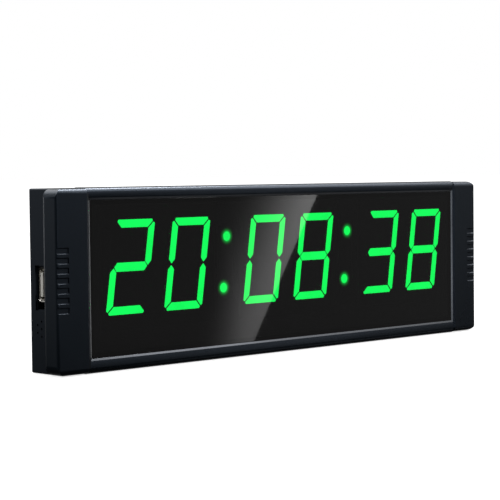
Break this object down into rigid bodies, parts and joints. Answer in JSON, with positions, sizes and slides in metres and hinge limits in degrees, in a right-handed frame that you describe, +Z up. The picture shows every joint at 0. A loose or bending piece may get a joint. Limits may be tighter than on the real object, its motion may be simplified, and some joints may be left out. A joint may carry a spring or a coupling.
{
  "type": "gym interval timer",
  "caption": "Wide shallow wall timer with green seven-segment digits behind a dark window, end blocks with grip grooves, a power socket and a buzzer on its left side.",
  "frame": {"origin": "middle of the whole case's lowest plane, halfway between its front and back", "axes": "+X to the viewer's right along the case, +Y to the back, +Z up"},
  "size_m": [0.3, 0.025, 0.085],
  "materials": {
    "case_plastic": "fine spark texture, satin",
    "window_acrylic": "polished dark tint",
    "tape": "black foam tape",
    "reflector_plastic": "moulded, matte",
    "lit_resin": "cast resin, glowing green",
    "dark_resin": "cast resin, unlit",
    "circuit_board": "green solder mask",
    "tinned_metal": "tinned",
    "socket_steel": "nickel plated, satin",
    "socket_plastic": "moulded white",
    "contact_gold": "gold plated",
    "screw_steel": "black zinc",
    "chip_plastic": "moulded epoxy",
    "buzzer_plastic": "moulded",
    "wire_jacket": "soft jacket",
    "receiver_resin": "dark infrared filter resin",
    "holder_plastic": "moulded",
    "cell_steel": "polished steel",
    "capacitor_can": "drawn can",
    "resistor_ceramic": "glazed ceramic"
  },
  "bodies": {
    "root": {"battery_contact": "tinned_metal", "battery_holder": "holder_plastic", "board_screws": "screw_steel", "buzzer_case": "buzzer_plastic", "buzzer_wires": "wire_jacket", "clock_chip": "chip_plastic", "clock_chip_leads": "tinned_metal", "coin_cell": "cell_steel", "colon_pins": "tinned_metal", "cover_screws": "screw_steel", "crystal": "tinned_metal", "display_window": "window_acrylic", "front_bezel": "case_plastic", "hours_dark_segments": "dark_resin", "hours_housing": "reflector_plastic", "hours_lit_segments": "lit_resin", "hours_pins": "tinned_metal", "ir_receiver": "receiver_resin", "ir_receiver_leads": "tinned_metal", "led_driver_leads": "tinned_metal", "led_drivers": "chip_plastic", "left_colon_dots": "lit_resin", "left_colon_housing": "reflector_plastic", "main_board": "circuit_board", "microcontroller": "chip_plastic", "microcontroller_leads": "tinned_metal", "minutes_dark_segments": "dark_resin", "minutes_housing": "reflector_plastic", "minutes_lit_segments": "lit_resin", "minutes_pins": "tinned_metal", "rear_cover": "case_plastic", "regulator": "chip_plastic", "resistors": "resistor_ceramic", "right_colon_dots": "lit_resin", "right_colon_housing": "reflector_plastic", "seconds_dark_segments": "dark_resin", "seconds_housing": "reflector_plastic", "seconds_lit_segments": "lit_resin", "seconds_pins": "tinned_metal", "supply_capacitors": "capacitor_can", "transistors": "chip_plastic", "usb_contacts": "contact_gold", "usb_shell": "socket_steel", "usb_tongue": "socket_plastic", "window_tape": "tape"}
  },
  "joints": []
}
